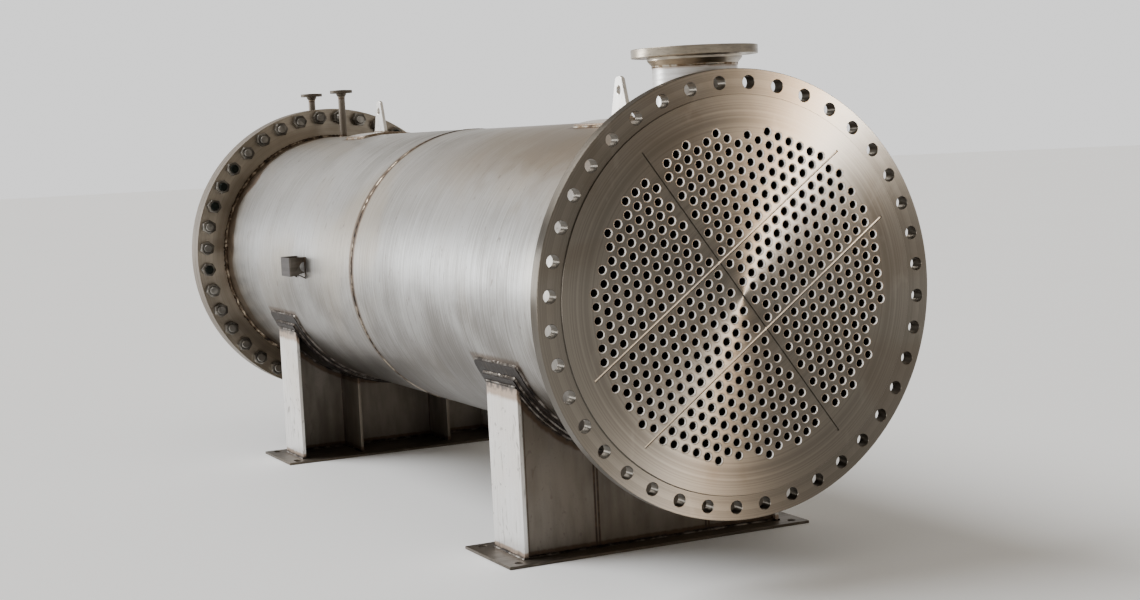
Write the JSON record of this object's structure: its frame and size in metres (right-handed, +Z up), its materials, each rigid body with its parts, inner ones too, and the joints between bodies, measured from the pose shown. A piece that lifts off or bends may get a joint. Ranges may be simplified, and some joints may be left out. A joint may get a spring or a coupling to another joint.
{
  "type": "hydraulic oil cooler",
  "caption": "Horizontal shell-and-tube oil cooler on saddles: bare multi-pass tubesheet in front, top inlet nozzle, vents, lifting lugs and a bolted return head behind.",
  "frame": {"origin": "centre of the footprint, on the plane that the saddles stand on", "axes": "+Y along the vessel from the bare front tubesheet to the return head, +Z up, so the front tubesheet faces -Y"},
  "size_m": [1.41, 4.62, 1.686],
  "materials": {
    "machined_steel": "machined face with fine concentric tool marks",
    "pickled_steel": "rolled, pickled stainless with faint streaks and scratches",
    "plate_steel": "hot rolled stainless plate, brownish, with heat tint at the welds",
    "bright_plate": "bright, lightly brushed stainless",
    "tube_steel": "drawn tube, satin",
    "gasket_sheet": "matt fibre sheet"
  },
  "bodies": {
    "root": {"baffle_1": "plate_steel", "baffle_2": "plate_steel", "baffle_3": "plate_steel", "baffle_4": "plate_steel", "baffle_5": "plate_steel", "baffle_6": "plate_steel", "front_lifting_lug": "bright_plate", "front_lug_pad": "pickled_steel", "front_saddle_base_plate": "plate_steel", "front_saddle_cap_plate": "plate_steel", "front_saddle_end_rib_left": "bright_plate", "front_saddle_end_rib_right": "bright_plate", "front_saddle_mid_rib_left": "bright_plate", "front_saddle_mid_rib_right": "bright_plate", "front_saddle_wear_plate": "plate_steel", "front_saddle_web": "plate_steel", "front_tubesheet": "machined_steel", "head_vent_flange": "bright_plate", "head_vent_neck": "pickled_steel", "inlet_flange": "bright_plate", "inlet_neck": "pickled_steel", "nameplate_bracket": "plate_steel", "outlet_flange": "bright_plate", "outlet_neck": "pickled_steel", "rear_gasket": "gasket_sheet", "rear_head_barrel": "pickled_steel", "rear_head_dish": "pickled_steel", "rear_head_flange": "plate_steel", "rear_lifting_lug": "bright_plate", "rear_lug_pad": "pickled_steel", "rear_partition_lower": "plate_steel", "rear_partition_upper": "plate_steel", "rear_saddle_base_plate": "plate_steel", "rear_saddle_cap_plate": "plate_steel", "rear_saddle_end_rib_left": "bright_plate", "rear_saddle_end_rib_right": "bright_plate", "rear_saddle_mid_rib_left": "bright_plate", "rear_saddle_mid_rib_right": "bright_plate", "rear_saddle_wear_plate": "plate_steel", "rear_saddle_web": "plate_steel", "rear_tubesheet": "plate_steel", "shell_course_front": "pickled_steel", "shell_course_rear": "pickled_steel", "shell_vent_flange": "bright_plate", "shell_vent_neck": "pickled_steel", "tie_rod_1": "tube_steel", "tie_rod_2": "tube_steel", "tie_rod_3": "tube_steel", "tie_rod_4": "tube_steel", "tie_rod_5": "tube_steel", "tie_rod_6": "tube_steel", "tie_rod_7": "tube_steel", "tie_rod_8": "tube_steel", "tube_pass_1": "tube_steel", "tube_pass_2": "tube_steel", "tube_pass_3": "tube_steel", "tube_pass_4": "tube_steel", "tube_pass_5": "tube_steel", "tube_pass_6": "tube_steel"}
  },
  "joints": []
}
